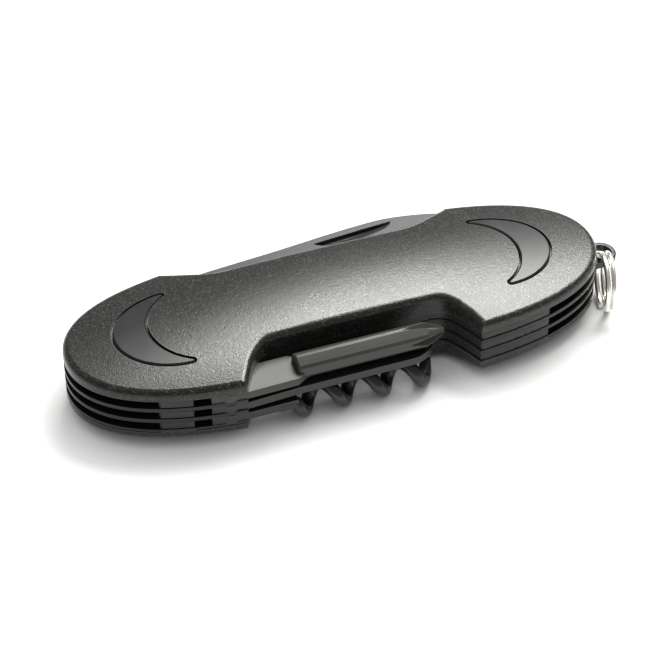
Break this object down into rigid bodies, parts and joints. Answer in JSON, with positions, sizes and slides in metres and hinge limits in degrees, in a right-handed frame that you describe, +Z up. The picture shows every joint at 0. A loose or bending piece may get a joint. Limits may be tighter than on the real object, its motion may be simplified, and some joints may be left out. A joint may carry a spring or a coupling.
{
  "type": "multi tool",
  "caption": "Folding pocket multi tool with domed scales, crescent inlays, blade, saw, cap lifter, cross driver, awl, corkscrew and key ring.",
  "frame": {"origin": "middle of the small flat on the lower scale that the tool rests on, under the middle of the body", "axes": "+X along the body towards the key ring, -Y towards the finger notch, +Z up through the pack of tools"},
  "size_m": [0.0944, 0.0336, 0.014],
  "materials": {
    "scale_paint": "satin metallic with a fine sandy texture",
    "inlay_steel": "satin dark",
    "liner_steel": "dark satin with bright edges",
    "spring_steel": "dark satin",
    "pin_steel": "plain turned",
    "bail_steel": "dark polished",
    "blade_steel": "dark coated satin",
    "tool_steel": "dark coated satin",
    "driver_steel": "dark polished plating",
    "ring_nickel": "bright nickel"
  },
  "bodies": {
    "handle": {"top_scale": "scale_paint", "bottom_scale": "scale_paint", "inlay_top_left": "inlay_steel", "inlay_top_right": "inlay_steel", "inlay_bottom_left": "inlay_steel", "inlay_bottom_right": "inlay_steel", "liner_top": "liner_steel", "liner_upper": "liner_steel", "liner_lower": "liner_steel", "liner_bottom": "liner_steel", "spring_upper": "spring_steel", "spring_middle": "spring_steel", "spring_lower": "spring_steel", "main_pin": "pin_steel", "front_pin": "pin_steel", "end_rivet": "pin_steel", "foot_rivet": "pin_steel", "mid_rivet": "pin_steel", "block_rivet": "pin_steel", "bail": "bail_steel"},
    "blade": {"main_blade": "blade_steel"},
    "saw": {"wood_saw": "tool_steel"},
    "lifter": {"cap_lifter": "tool_steel"},
    "driver": {"cross_driver": "driver_steel"},
    "awl": {"awl": "tool_steel"},
    "corkscrew": {"corkscrew": "tool_steel"},
    "ring": {"split_ring": "ring_nickel"}
  },
  "joints": [
    {"name": "blade_hinge", "type": "hinge", "parent": "handle", "child": "blade", "pos_m": [-0.0375, 0.0038, 0.007], "axis": [0, 0, 1], "range_deg": [0, 180]},
    {"name": "saw_hinge", "type": "hinge", "parent": "handle", "child": "saw", "pos_m": [-0.0375, 0.0038, 0.007], "axis": [0, 0, 1], "range_deg": [0, 180]},
    {"name": "lifter_hinge", "type": "hinge", "parent": "handle", "child": "lifter", "pos_m": [-0.0375, 0.0038, 0.007], "axis": [0, 0, 1], "range_deg": [0, 180]},
    {"name": "driver_hinge", "type": "hinge", "parent": "handle", "child": "driver", "pos_m": [-0.0227, -0.0121, 0.007], "axis": [0, 0, -1], "range_deg": [0, 90]},
    {"name": "awl_hinge", "type": "hinge", "parent": "handle", "child": "awl", "pos_m": [-0.0227, -0.0121, 0.007], "axis": [0, 0, -1], "range_deg": [0, 90]},
    {"name": "corkscrew_hinge", "type": "hinge", "parent": "handle", "child": "corkscrew", "pos_m": [-0.0227, -0.0121, 0.007], "axis": [0, 0, -1], "range_deg": [0, 90]},
    {"name": "ring_swing", "type": "hinge", "parent": "handle", "child": "ring", "pos_m": [0.04638, -0.00288, 0.0071], "axis": [-0.9673, 0.2538, 0], "range_deg": [-30, 105]}
  ]
}
